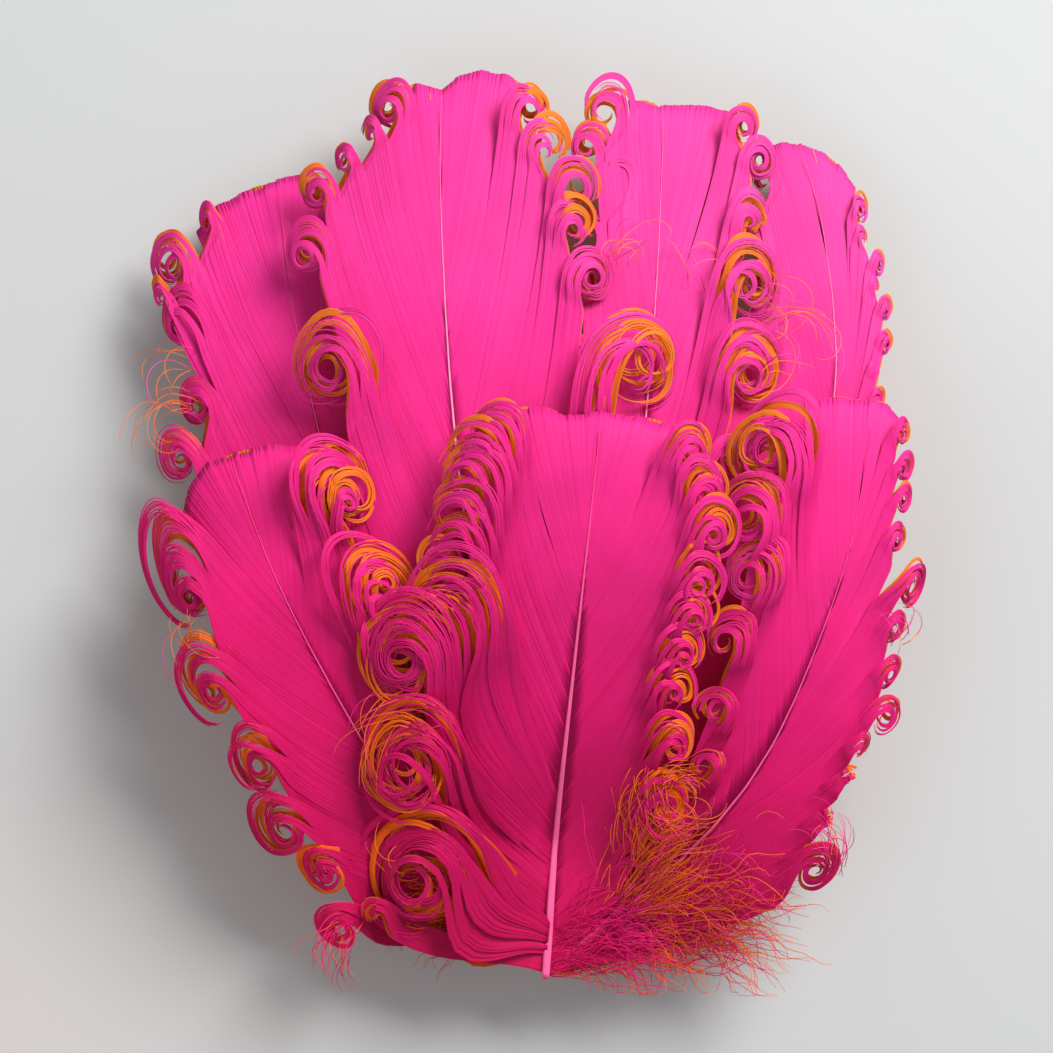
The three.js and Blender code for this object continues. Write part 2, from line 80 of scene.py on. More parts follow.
# Each vane is (shape of its curls, distance along the quill where its barbs start, locks from base to tip,
# crown), in millimetres. A lock is (x, y of its eye, radius of its outermost barb, width of its ribbon of
# barbs, turns, orange share) and, where they differ from the usual, how far its arcs rise towards the tip
# and its tilt in degrees. The orange share is how much of the orange lock shows between the pink barbs.
# The crown is the line along which the last, straight barbs end, up to the quill's tip.
# Shapes: "proud" curls stand over the feather below, "edge" curls hang over the pad's own edge, and
# "hidden" ones lie flat under another feather.
FEATHERS = {
    "back_right": {
        "left": ("hidden", 12, [
            (24, 30, 3, 1.5, 0.5, 0.2), (32, 62, 3, 1.5, 0.5, 0.2), (34.4, 78, 2.4, 1.5, 0.5, 0.2),
        ], [(34, 83), (37, 84.3), (40, 84.2)]),
        "right": ("edge", 12, [
            (47, 26, 2.4, 1.4, 1.1, 0.4), (51.5, 44, 1.8, 1.1, 1.1, 0.4), (53, 52.7, 1.8, 1.1, 1.2, 0.6),
            (53.0, 58, 1.9, 1.2, 1.2, 0.5), (51.8, 64.9, 1.9, 1.2, 1.1, 0.6),
            (49.2, 73.3, 2.1, 1.3, 1.0, 0.6),
        ], [(48.5, 77.6), (46, 81), (43.5, 83), (40, 84.2)]),
    },
    "back_left": {
        "left": ("edge", 10, [
            (-50, 25, 3.4, 1.8, 1.1, 0.3), (-55, 35.1, 4.0, 2.0, 1.2, 0.4),
            (-52.4, 43.1, 3.9, 1.9, 1.4, 0.4), (-54.5, 55.7, 4.6, 1.5, 1.2, 0.3),
            (-58.3, 60.4, 1.9, 0.6, 1.3, 1.0), (-56.5, 65, 4.2, 1.4, 1.0, 0.7),
            (-51.2, 71.8, 2.5, 0.9, 0.9, 0.3),
        ], [(-53, 70.5), (-50.5, 74.2), (-46, 76.6), (-41, 78.4)]),
        "right": ("hidden", 12, [
            (-21, 38, 3, 1.5, 0.5, 0.2), (-28, 58, 3, 1.5, 0.5, 0.2), (-31, 72, 2.6, 1.5, 0.5, 0.2),
        ], [(-32, 78.6), (-36.6, 79.4), (-41, 78.4)]),
    },
    "back_centre_right": {
        "left": ("hidden", 12, [
            (3.5, 40, 3.4, 1.8, 0.6, 0.2), (5.5, 62, 3.4, 1.8, 0.6, 0.3),
            (11.3, 77.4, 3.2, 1.5, 1.5, 0.5), (7.4, 83.2, 3.4, 1.7, 1.1, 0.9),
            (10.2, 88.6, 4.2, 1.7, 0.6, 0.9),
        ], [(13.6, 90.9), (16, 90.6), (18.6, 89.7)]),
        "right": ("proud", 12, [
            (29, 33, 4.6, 2.2, 0.8, 0.3), (32.1, 48.1, 6.2, 3.4, 1.2, 0.5),
            (31.8, 61.8, 5.9, 3.9, 1.2, 0.8, 3.4), (33.6, 80.6, 3.3, 1.5, 1.5, 0.4),
            (31.3, 85.7, 3.0, 1.3, 0.9, 0.8),
        ], [(29, 89.2), (24.4, 89.8), (18.6, 89.7)]),
    },
    "back_centre_left": {
        "left": ("proud", 12, [
            (-31, 30, 5, 2.4, 0.9, 0.3), (-32.1, 48.4, 7.8, 5.2, 1.0, 0.9, 3.0),
            (-35.4, 66.6, 4.3, 2.3, 1.5, 0.5), (-33.9, 75.6, 3.3, 1.7, 1.4, 1.0),
            (-29.8, 80.4, 2.4, 1.1, 0.8, 0.5), (-22.9, 88.4, 3.6, 1.6, 1.1, 0.7),
        ], [(-21, 92.3), (-19, 93), (-14.8, 91.9)]),
        "right": ("proud", 12, [
            (9, 36, 4.6, 2.2, 0.7, 0.3), (13.7, 48.9, 8.6, 5.4, 0.8, 1.0, 1.0),
            (7.6, 62.2, 4.3, 1.9, 1.6, 0.3), (4.9, 70.0, 4.3, 2.6, 0.9, 1.1),
            (5.6, 76.2, 4.4, 2.6, 0.7, 0.5), (0.8, 81.8, 4.4, 2.8, 0.6, 1.1),
            (-2.0, 87.6, 3.8, 2.2, 0.9, 0.9),
        ], [(-2, 92.3), (-5, 94.4), (-9, 95), (-12.5, 94), (-14.8, 91.9)]),
    },
    "front_right": {
        "left": ("proud", 3, [
            (24.8, -12, 3.2, 1.8, 0.6, 0.6), (26.4, -3, 3.6, 2, 0.7, 0.5),
            (28.4, 7.7, 4.4, 2.6, 0.7, 0.5), (31.4, 17.6, 5.4, 3.4, 0.8, 0.5),
            (30.8, 26.4, 6.2, 3.8, 0.9, 0.4), (34.4, 35.6, 7.2, 4.0, 1.5, 0.6),
        ], [(40, 44), (45, 44.8), (50, 44.6)]),
        "right": ("edge", 3, [
            (41.5, -27.4, 4.3, 1.3, 1.1, 0.3), (43.5, -20.5, 3.0, 2.8, 0.1, 0.5, 0),
            (46.8, -14.0, 3.0, 2.8, 0.1, 0.5, 0), (51.9, -4.2, 3.1, 1.8, 1.2, 0.8),
            (52.9, 2.3, 2.7, 1.5, 1.0, 0.5), (53.3, 9.2, 2.5, 1.3, 1.1, 0.5),
            (56.2, 15.8, 4.6, 0.6, 1.0, 0.1, 0, 62), (53.9, 22.6, 2.4, 1.3, 1.2, 0.5),
            (54.7, 28.6, 2.3, 1.3, 1.2, 0.7), (55.0, 33.6, 2.3, 1.3, 1.2, 0.5),
            (54.6, 38.4, 2.3, 1.3, 1.1, 0.5),
        ], [(54.6, 41.6), (52.6, 43.8), (50, 44.6)]),
    },
    "front_left": {
        "left": ("edge", 4, [
            (-30.5, -36.6, 3.8, 1.2, 1.1, 0.0), (-32.4, -28.2, 4.5, 1.9, 1.5, 1.3),
            (-38.9, -21.4, 5.2, 1.2, 1.0, 0.2), (-42.5, -11.9, 5.2, 3.6, 0.9, 0.7, 4.0),
            (-49.2, -0.6, 5.6, 4.2, 0.9, 0.8, 5.5), (-52.9, 14.6, 6.6, 5.2, 0.85, 0.3, 11.0),
        ], [(-54.2, 27.5), (-53.4, 31), (-50.6, 34.8), (-46.4, 36.6)]),
        "right": ("proud", 12, [
            (-18.5, -2, 4.4, 2.4, 0.7, 0.3), (-20.7, 6.4, 5.8, 4.2, 0.6, 0.3),
            (-23.4, 14.8, 7.2, 6.0, 0.6, 0.8, 4.5), (-29.3, 28.4, 5.6, 4.0, 0.9, 1.3, 2.0),
            (-31.0, 31.2, 7.0, 2.4, 0.5, 0.1, 2.0),
        ], [(-35, 37.2), (-41, 37.6), (-46.4, 36.4)]),
    },
    "front_centre": {
        "left": ("proud", 1, [
            (-25.0, -34.6, 3.2, 3.0, 0.4, 0.4, 0), (-17.8, -29.4, 11.4, 7.8, 0.8, 0.2, 2.0),
            (-20.2, -12.2, 9.4, 6.2, 0.95, 0.7), (-20.6, 4.4, 9.2, 6.4, 1.0, 0.4),
            (-13.6, 10.2, 9.6, 4.6, 0.5, 0.8), (-15.4, 18.6, 4.0, 2.4, 1.0, 1.1),
            (-12.8, 21.7, 6.1, 3.2, 0.42, 0.2, 1.0), (-12.3, 26.2, 6.1, 3.2, 0.42, 0.5, 1.0),
            (-11.0, 31.0, 6.1, 3.2, 0.42, 0.6, 1.0), (-9.4, 34.8, 6.0, 3.0, 0.42, 0.7, 1.0),
            (-7.2, 37.9, 5.4, 2.6, 0.42, 0.4, 1.0),
        ], [(-4, 43.2), (0.6, 43.1), (3.4, 42), (9, 42.6)]),
        "right": ("proud", 1, [
            (14.5, -27.8, 3.6, 2.6, 0.5, 0.6), (18.9, -18.4, 4.6, 3.4, 1.0, 1.0),
            (19.9, -8.6, 4.4, 3.2, 0.9, 1.0), (20.0, -0.6, 4.3, 3.4, 0.7, 0.8),
            (21.2, 5.3, 4.3, 3.4, 0.7, 0.9), (22.8, 10.6, 4.3, 3.4, 0.7, 0.9),
            (24.0, 16.2, 4.4, 3.4, 0.75, 1.0), (26.2, 23.4, 4.6, 3.6, 0.9, 0.8),
            (24.8, 29.6, 4.2, 3.2, 0.7, 0.3), (22.2, 35.4, 4.4, 3.2, 0.8, 0.9),
        ], [(20.6, 40.4), (16, 41.6), (9, 42.6)]),
    },
}

# A full quill's radius in millimetres (second row) at shares of its length.
QUILL_TAPER = np.array([[0, 0.06, 0.3, 0.55, 0.75, 1], [0.6, 0.66, 0.42, 0.26, 0.16, 0.07]])
QUILL_RING_GAP = 1.8 * MM  # more than a CAD quill's rings are wide along Y, and less than they are apart
QUILL_FLATNESS = 0.85  # its height as a share of its width
QUILL_GROOVE = 0.22  # depth of the groove along its front, as a share of its radius

# Each quill's girth above the vane's start, as a share of its full one, and how pale it is.
QUILL_LOOKS = {
    "back_right": (0.7, 0.75), "back_left": (0.5, 0.3), "back_centre_right": (0.7, 0.7),
    "back_centre_left": (0.75, 0.8), "front_right": (0.5, 0.12), "front_left": (0.5, 0.12),
    "front_centre": (1.0, 0.2),
}

# The down round the feathers' bases: (pink barbs, orange barbs, directions in degrees, lengths).
DOWN_BLADE = np.array([[0.16, 0.12], [0.13, 0.1], [0.06, 0.05]]) * MM
DOWN_LOWEST_Y = -46.5 * MM
DOWN = {
    ("front_left", "left"): (60, 340, (142, 170), (8, 18)),
    ("back_left", "left"): (0, 200, (134, 165), (8, 20)),
    ("front_centre", "right"): (240, 480, (0, 50), (8, 28)),
    ("front_right", "right"): (480, 460, (0, 38), (10, 34)),
    ("back_right", "right"): (200, 400, (14, 60), (12, 34)),
}

# Stray barbs: (pink barbs, orange barbs, where they leave their lock, direction in degrees, lengths, radii
# of their loops; a negative radius loops clockwise).
WISP_BLADE = np.array([[0.13, 0.1], [0.11, 0.09], [0.05, 0.04]]) * MM
WISPS = {
    ("back_centre_right", "right"): [
        (4, 6, (33, 56), 15, (10, 22), (-9, -4)), (3, 5, (33, 62), 10, (8, 18), (-8, -3)),
        (2, 4, (25, 60), 75, (8, 14), (3, 7)), (4, 2, (33, 48), 40, (6, 14), (-7, -3)),
    ],
    ("back_left", "left"): [
        (1, 9, (-52, 42), 150, (8, 18), (3, 8)), (2, 5, (-53, 50), 160, (6, 14), (3, 6)),
    ],
    ("front_centre", "left"): [
        (1, 16, (-11, -5), 155, (16, 26), (8, 14)), (1, 4, (-16, -26), 200, (8, 16), (-8, -3)),
    ],
    ("front_left", "left"): [
        (22, 5, (-28, -35), 205, (6, 12), (4, 9)), (1, 7, (-53, 12), 250, (5, 11), (3, 6)),
    ],
    ("front_right", "right"): [
        (18, 3, (44, -27), 80, (5, 11), (3, 9)), (6, 3, (54, 8), 60, (4, 9), (2, 5)),
    ],
    ("front_centre", "right"): [
        (16, 80, (10, -35), 40, (10, 20), (20, 60)), (10, 60, (14, -30), 58, (8, 16), (-60, -20)),
        (6, 60, (17, -12), 250, (8, 16), (4, 12)), (5, 34, (17, -16), 60, (6, 12), (-7, -3)),
    ],
    ("back_centre_left", "right"): [(3, 6, (10, 64), 60, (6, 14), (-6, -3))],
}

# How each shape of curl lies: tilt of the curl towards the vane's edge and towards its tip (degrees), lift
# over the vane as a share of the curl's fall, and how far it sinks in each turn (share of its radius).
SHAPES = {
    "proud": {"tilt": 24, "nod": 14, "lift": 0.75, "sink": 0.22},
    "edge": {"tilt": 34, "nod": 8, "lift": 0.25, "sink": 0.15},
    "hidden": {"tilt": 4, "nod": 2, "lift": 0.0, "sink": 0.05},
}

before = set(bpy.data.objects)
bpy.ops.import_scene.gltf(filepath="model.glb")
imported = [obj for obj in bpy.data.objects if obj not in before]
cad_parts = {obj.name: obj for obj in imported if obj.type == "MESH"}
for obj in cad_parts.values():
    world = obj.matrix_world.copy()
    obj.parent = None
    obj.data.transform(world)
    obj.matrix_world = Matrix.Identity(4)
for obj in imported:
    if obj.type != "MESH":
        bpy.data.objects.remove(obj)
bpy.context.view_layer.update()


# ---- Camera, light and floor -------------------------------------------------------------------------


def link(obj):
    bpy.context.scene.collection.objects.link(obj)
    return obj


def make_camera():
    """Straight above the pad, as if it lay on a table, with a long lens."""
    view_width = 160.8 * MM
    aim = Vector((-2.1, 25.0, 15.0)) * MM
    data = bpy.data.cameras.new("camera")
    data.lens = 180
    data.sensor_width = 36
    camera = link(bpy.data.objects.new("camera", data))
    camera.location = aim + Vector((0, 0, view_width * data.lens / data.sensor_width))
    bpy.context.scene.camera = camera


def area_light(name, place, aim, size, power, color):
    data = bpy.data.lights.new(name, "AREA")
    data.size = size
    data.energy = power
    data.color = color
    light = link(bpy.data.objects.new(name, data))
    light.location = place
    light.rotation_euler = (Vector(aim) - Vector(place)).to_track_quat("-Z", "Y").to_euler()


def make_light():
    aim = (0, 0.02, 0)
    area_light("window_light", (0.40, 0.53, 0.56), aim, 0.4, 10.2, (1.0, 0.985, 0.96))
    area_light("fill_light", (-0.5, -0.35, 0.8), aim, 0.7, 1.5, (0.93, 0.96, 1.0))
    area_light("warm_bounce", (-0.12, -0.09, 0.05), (-0.05, -0.03, 0), 0.05, 0.014, (1.0, 0.34, 0.16))
    world = bpy.data.worlds.new("studio")
    world.use_nodes = True
    background = world.node_tree.nodes["Background"]
    background.inputs["Color"].default_value = (0.9, 0.93, 0.96, 1)
    background.inputs["Strength"].default_value = 0.31
    bpy.context.scene.world = world
    bpy.context.scene.view_settings.view_transform = "Standard"


# ---- Node helpers ------------------------------------------------------------------------------------


class Shader:
    """A material's node tree, with short ways to add nodes and wires."""

    def __init__(self, name):
        self.material = bpy.data.materials.new(name)
        self.material.use_nodes = True
        self.tree = self.material.node_tree
        self.surface = self.tree.nodes["Principled BSDF"]

    def node(self, kind, **values):
        made = self.tree.nodes.new(kind)
        for key, value in values.items():
            if key in made.inputs:
                made.inputs[key].default_value = value
            else:
                setattr(made, key, value)
        return made

    def wire(self, out, into):
        self.tree.links.new(out, into)

    def set(self, **values):
        for key, value in values.items():
            self.surface.inputs[key.replace("_", " ")].default_value = value

    def attribute(self, name):
        return self.node("ShaderNodeAttribute", attribute_name=name).outputs["Fac"]

    def ramp(self, factor, stops):
        ramp = self.node("ShaderNodeValToRGB")
        elements = ramp.color_ramp.elements
        while len(elements) < len(stops):
            elements.new(0.5)
        for element, (place, color) in zip(elements, stops):
            element.position = place
            element.color = (*color, 1)
        self.wire(factor, ramp.inputs["Fac"])
        return ramp.outputs["Color"]

    def noise(self, scale, detail=4.0, stretch=(1, 1, 1)):
        coordinates = self.node("ShaderNodeTexCoord").outputs["Object"]
        mapping = self.node("ShaderNodeMapping")
        mapping.inputs["Scale"].default_value = stretch
        self.wire(coordinates, mapping.inputs["Vector"])
        noise = self.node("ShaderNodeTexNoise", Scale=scale, Detail=detail)
        self.wire(mapping.outputs["Vector"], noise.inputs["Vector"])
        return noise.outputs["Fac"]

    def mix(self, factor, first, second, blend="MIX"):
        mix = self.node("ShaderNodeMix", data_type="RGBA", blend_type=blend)
        for value, socket in ((factor, mix.inputs[0]), (first, mix.inputs[6]), (second, mix.inputs[7])):
            if isinstance(value, bpy.types.NodeSocket):
                self.wire(value, socket)
            elif isinstance(value, tuple):
                socket.default_value = (*value, 1)
            else:
                socket.default_value = value
        return mix.outputs[2]

    def bump(self, height, strength, distance):
        bump = self.node("ShaderNodeBump", Strength=strength, Distance=distance)
        self.wire(height, bump.inputs["Height"])
        self.wire(bump.outputs["Normal"], self.surface.inputs["Normal"])


def barb_material(name, stops):
    """Dyed barbs: each has its own tone, and the dye pools in soft patches. The tone also carries painted
    shade and painted light: darker towards the pad's bottom, lighter towards its top and right. stops is the
    tone's ramp.
    """
    shader = Shader(name)
    own = shader.ramp(shader.attribute("tone"), stops)
    patches = shader.ramp(shader.noise(90.0), [(0.35, (0.86, 0.84, 0.86)), (0.65, (1, 1, 1))])
    dyed = shader.mix(0.8, own, patches, "MULTIPLY")
    shader.wire(dyed, shader.surface.inputs["Base Color"])
    through = shader.node("ShaderNodeBsdfTranslucent")
    shader.wire(dyed, through.inputs["Color"])
    blend = shader.node("ShaderNodeMixShader", Fac=0.22)
    output = shader.tree.nodes["Material Output"]
    shader.wire(shader.surface.outputs["BSDF"], blend.inputs[1])
    shader.wire(through.outputs["BSDF"], blend.inputs[2])
    shader.wire(blend.outputs["Shader"], output.inputs["Surface"])
    fine = shader.noise(2600.0, 2.0)
    rough = shader.node("ShaderNodeMapRange")
    rough.inputs["To Min"].default_value = 0.5
    rough.inputs["To Max"].default_value = 0.75
    shader.wire(fine, rough.inputs["Value"])
    shader.wire(rough.outputs["Result"], shader.surface.inputs["Roughness"])
    shader.set(Sheen_Weight=0.2, Sheen_Roughness=0.4, Specular_IOR_Level=0.22)
    shader.surface.inputs["Sheen Tint"].default_value = (*stops[-1][1], 1)
    return shader.material


def quill_material(name, dyed, pale):
    """Horn with fine streaks along it; the paleness attribute says how little dye a quill has taken."""
    shader = Shader(name)
    along = shader.ramp(shader.attribute("paleness"), [(0.0, dyed), (1.0, pale)])
    fine = shader.noise(500.0, 5.0, (6, 0.5, 6))
    streaks = shader.ramp(fine, [(0.3, (0.84, 0.8, 0.82)), (0.7, (1, 1, 1))])
    shader.wire(shader.mix(0.7, along, streaks, "MULTIPLY"), shader.surface.inputs["Base Color"])
    shader.bump(shader.noise(900.0, 3.0, (6, 0.4, 6)), 0.35, 0.05 * MM)
    shader.set(Roughness=0.36, Specular_IOR_Level=0.5, Coat_Weight=0.15, Coat_Roughness=0.2)
    return shader.material


def cloudy_material(name, cloud, stops, grain, relief, **surface):
    """A colour that drifts with the noise cloud, on a surface made uneven by the noise grain.

    Both noises are (scale, detail) or (scale, detail, stretch), and relief is the bump's strength and depth.
    """
    shader = Shader(name)
    color = shader.ramp(shader.noise(*cloud), stops)
    shader.wire(color, shader.surface.inputs["Base Color"])
    shader.bump(shader.noise(*grain), *relief)
    shader.set(**surface)
    return shader.material


def felt_material():
    fibres = (1400.0, 8.0, (1, 1, 0.4))
    stops = [(0.25, (0.62, 0.59, 0.54)), (0.55, (0.82, 0.79, 0.73)), (0.8, (0.92, 0.9, 0.86))]
    return cloudy_material(
        "wool_felt", fibres, stops, fibres, (0.8, 0.3 * MM),
        Roughness=0.95, Sheen_Weight=0.5, Sheen_Roughness=0.6, Specular_IOR_Level=0.15,
    )


def buckram_material():
    stops = [(0.3, (0.66, 0.6, 0.5)), (0.7, (0.83, 0.78, 0.68))]
    return cloudy_material(
        "buckram_weave", (260.0, 6.0), stops, (3000.0, 4.0), (0.5, 0.1 * MM),
        Roughness=0.72, Specular_IOR_Level=0.35,
    )


def glue_material():
    stops = [(0.3, (0.74, 0.66, 0.5)), (0.7, (0.9, 0.85, 0.72))]
    return cloudy_material(
        "hot_glue", (220.0, 5.0), stops, (400.0, 2.0), (0.4, 0.4 * MM),
        Roughness=0.22, Coat_Weight=0.6, Coat_Roughness=0.08, Subsurface_Weight=0.2,
    )


def floor_material():
    stops = [(0.3, (0.54, 0.552, 0.56)), (0.7, (0.565, 0.575, 0.58))]
    return cloudy_material(
        "pale_table", (9.0, 3.0), stops, (700.0, 4.0), (0.08, 0.1 * MM),
        Roughness=0.7, Specular_IOR_Level=0.25,
    )


# ---- Mesh helpers ------------------------------------------------------------------------------------


def mesh_object(name, points, faces, material, attributes=(), smooth_angle=None, uv=None):
    """A mesh from arrays: points (n, 3), quads (m, 4), and float attributes as (name, one value a point)."""
    mesh = bpy.data.meshes.new(name)
    mesh.vertices.add(len(points))
    mesh.vertices.foreach_set("co", np.asarray(points, np.float32).ravel())
    mesh.loops.add(faces.size)
    mesh.loops.foreach_set("vertex_index", faces.astype(np.int32).ravel())
    mesh.polygons.add(len(faces))
    mesh.polygons.foreach_set("loop_start", np.arange(0, faces.size, faces.shape[1], dtype=np.int32))
    mesh.update(calc_edges=True)
    mesh.shade_smooth()
    if smooth_angle is not None:
        mesh.set_sharp_from_angle(angle=math.radians(smooth_angle))
    for key, values in attributes:
        layer = mesh.attributes.new(key, "FLOAT", "POINT")
        layer.data.foreach_set("value", np.asarray(values, np.float32).ravel())
    if uv is not None:
        layer = mesh.uv_layers.new(name="OFBake")
        layer.data.foreach_set("uv", np.asarray(uv, np.float32).ravel())
    mesh.materials.append(material)
    return link(bpy.data.objects.new(name, mesh))


def eased(share):
    """A share from 0 to 1 that starts and ends gently."""
    return share * share * (3 - 2 * share)


def line_lengths(points):
    """The length of a line of points up to each of them."""
    steps = np.linalg.norm(np.diff(points, axis=0), axis=1)
    return np.concatenate([[0], np.cumsum(steps)])


def capped_mesh(name, rings, ends, material):
    """A closed mesh of rings (n, sides, 3) that follow each other; ends are the two points that close it."""
    count, sides = rings.shape[:2]
    ring = np.arange(count - 1)[:, None] * sides
    corner = np.arange(sides)
    after = (corner + 1) % sides
    wall = np.stack([ring + corner, ring + after, ring + sides + after, ring + sides + corner], -1)
    start, last = count * sides, (count - 1) * sides
    faces = wall.reshape(-1, 4).tolist()
    for a, b in zip(corner.tolist(), after.tolist()):
        faces.append((start, b, a))
        faces.append((start + 1, last + a, last + b))
    mesh = bpy.data.meshes.new(name)
    mesh.from_pydata(np.concatenate([rings.reshape(-1, 3), ends]).tolist(), [], faces)
    mesh.shade_smooth()
    mesh.materials.append(material)
    return link(bpy.data.objects.new(name, mesh))


def unit(vectors):
    return vectors / np.maximum(np.linalg.norm(vectors, axis=-1, keepdims=True), 1e-12)


def tube_faces(count, rings, sides):
    """Quads of count closed tubes, each of rings x sides points, with a cap at both ends (sides is 4)."""
    tube = np.arange(count)[:, None, None] * rings * sides
    ring = np.arange(rings - 1)[None, :, None] * sides
    corner = np.arange(sides)[None, None, :]
    after = (corner + 1) % sides
    first = tube + ring
    wall = np.stack([first + corner, first + after, first + sides + after, first + sides + corner], -1)
    start = tube[:, 0] + np.array([[3, 2, 1, 0]])
    end = tube[:, 0] + (rings - 1) * sides + np.array([[0, 1, 2, 3]])
    return np.concatenate([wall.reshape(-1, 4), start, end])


def blade_arrays(barbs, column):
    """The points, quads, tones and OFBake places of one set of barbs, which all have as many points each."""
    paths, sizes, tone = barbs["paths"], barbs["sizes"], barbs["tone"]
    count, rings = paths.shape[:2]
    tangent = unit(np.gradient(paths, axis=1))
    across = unit(np.cross(tangent, [0.0, 0.0, 1.0]))
    normal = np.cross(across, tangent)
    half_width = across * sizes[..., :1] / 2
    half_height = normal * sizes[..., 1:] / 2
    section = np.stack([half_width, half_height, -half_width, -half_height], axis=2)
    points = (paths[:, :, None] + section).reshape(-1, 3)
    faces = tube_faces(count, rings, 4)
    shade = np.broadcast_to(tone[:, :, None], (count, rings, 4)).ravel()
    ring = np.tile(np.arange(rings).repeat(4), count)[faces]
    place = np.tile(np.arange(4), count * rings)[faces]
    place = np.where((place == 0) & (place[:, [1, 2, 3, 0]] == 3).any(1, keepdims=True), 4, place)
    uv = np.stack([column + faces // (rings * 4) + 0.1 + place * 0.2, ring / (rings - 1)], -1)
    return points, faces, shade, uv


def blades(name, sets, material):
    """One mesh of thin closed blades. A set of barbs has paths (n, m, 3), sizes (n, m, 2), tone (n, m)."""
    points, faces, shade, uv = [], [], [], []
    corners = columns = 0
    for barbs in sets:
        made = blade_arrays(barbs, columns)
        points.append(made[0])
        faces.append(made[1] + corners)
        shade.append(made[2])
        uv.append(made[3])
        corners += len(made[0])
        columns += len(barbs["paths"])
    uv = np.concatenate(uv) / [columns, 1]
    attributes = [("tone", np.concatenate(shade))]
    return mesh_object(name, np.concatenate(points), np.concatenate(faces), material, attributes, 100, uv)


# ---- Feathers ----------------------------------------------------------------------------------------


class Quill:
    """A CAD quill's centreline, from its end in the glue (share 0) to its tip (share 1)."""

    def __init__(self, node, cover=0.0):
        self.cover = cover
        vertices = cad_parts[node].data.vertices
        flat = np.zeros(len(vertices) * 3, np.float32)
        vertices.foreach_get("co", flat)
        points = flat.reshape(-1, 3).astype(float)
        points = points[np.argsort(points[:, 1])]
        breaks = np.where(np.diff(points[:, 1]) > QUILL_RING_GAP)[0] + 1
        centre = np.array([ring.mean(0) for ring in np.split(points, breaks)])
        lengths = line_lengths(centre)
        self.length = lengths[-1]
        self.dense = self.smooth(centre, lengths / self.length)
        self.tangents = unit(np.gradient(self.dense, axis=0))
        self.reach = np.linalg.norm(self.dense[:, :2] - FAN_ROOT, axis=1)

    @staticmethod
    def smooth(centre, shares):
        """A dense, smooth line through the ring centres, which lie at these shares of its length."""
        fine = np.linspace(0, 1, 400)
        dense = np.stack([np.interp(fine, shares, centre[:, i]) for i in range(3)], -1)
        for _ in range(60):
            dense[1:-1] = (dense[:-2] + 2 * dense[1:-1] + dense[2:]) / 4
        return dense

    def at(self, share, of=None):
        source = self.dense if of is None else of
        fine = np.linspace(0, 1, len(source))
        return np.stack([np.interp(share, fine, source[:, i]) for i in range(3)], -1)

    def height(self, place):
        """The height of the feather's surface at places (..., 2): the quill's at the same radius."""
        radius = np.linalg.norm(place - FAN_ROOT, axis=-1)
        z = np.interp(radius, self.reach, self.dense[:, 2])
        x = np.interp(radius, self.reach, self.dense[:, 0])
        over_glue = np.clip((GLUE_COVER_END - radius) / GLUE_COVER_FADE, 0, 1)
        return z - SIDE_DROOP * (place[..., 0] ** 2 - x**2) + self.cover * eased(over_glue)


def quill_piece(name, quill, look, material):
    """A tapered shaft, a little flat and grooved along its front, with a cut end."""
    rings, sides = 90, 20
    share = np.linspace(0, 1, rings)
    centre = quill.at(share)
    tangent = unit(np.gradient(centre, axis=0))
    across = unit(np.cross(tangent, [0.0, 0.0, 1.0]))
    normal = np.cross(across, tangent)
    girth, paleness = look
    radius = np.interp(share, *QUILL_TAPER) * MM
    radius = radius * np.interp(share, [0.1, 0.25], [1, girth])
    centre[:, 2] = quill.height(centre[:, :2]) + 0.12 * MM
    angle = np.linspace(0, 2 * np.pi, sides, endpoint=False)
    groove = 1 - QUILL_GROOVE * np.exp(-(((angle - np.pi / 2) / 0.32) ** 2))
    spread = radius[:, None] * groove
    points = (
        centre[:, None]
        + across[:, None] * (spread * np.cos(angle))[..., None]
        + normal[:, None] * (QUILL_FLATNESS * spread * np.sin(angle))[..., None]
    )
    ends = [centre[0] + tangent[0] * 0.2 * MM, centre[-1] + tangent[-1] * 0.3 * MM]
    shaft = capped_mesh(name, points, ends, material)
    pale = paleness * np.interp(share, [0, 0.5, 0.8, 1], [1, 1, 0.5, 0]).repeat(sides)
    pale = np.concatenate([pale, [paleness, 0]])
    layer = shaft.data.attributes.new("paleness", "FLOAT", "POINT")
    layer.data.foreach_set("value", pale.astype(np.float32))
    return shaft


def with_fillers(locks):
    """Adds a plain, smaller lock in the middle of every wide gap between two locks."""
    filled = [locks[0]]
    for lock, following in zip(locks, locks[1:]):
        (x, y, radius), (next_x, next_y, next_radius) = lock[:3], following[:3]
        if math.dist((x, y), (next_x, next_y)) > 1.6 * (radius + next_radius):
            small = 0.42 * (radius + next_radius)
            filled.append(((x + next_x) * 0.49, (y + next_y) / 2, small, small * 0.8, 0.45, 0.3))
        filled.append(following)
    return filled


def turn(vectors, angle):
    cos, sin = np.cos(angle), np.sin(angle)
    x, y = vectors[..., 0], vectors[..., 1]
    return np.stack([x * cos - y * sin, x * sin + y * cos], -1)


def vane_shares(quill, locks, crown, first):
    """The stretch of the quill that each lock's barbs leave, and last the crown's, as (from, to) shares.

    The lower locks take less of the quill than their share of the vane's edge, for the barbs run up the
    vane before they curl.
    """
    eyes = np.array([lock[:2] for lock in locks])
    middles = (eyes[:-1] + eyes[1:]) / 2
    start = quill.at(first)[:2] / MM
    ends = np.concatenate([[start + (eyes[0] - start) * 0.6], middles, [crown[0]]])
    edge = np.linalg.norm(np.diff(ends, axis=0), axis=1)
    weights = edge * np.linspace(0.35, 1.25, len(locks))
    weights = np.append(weights, 1.25 * line_lengths(np.array(crown))[-1])
    bounds = first + (VANE_END - first) * np.concatenate([[0], np.cumsum(weights)]) / weights.sum()
    return list(zip(bounds[:-1], bounds[1:]))


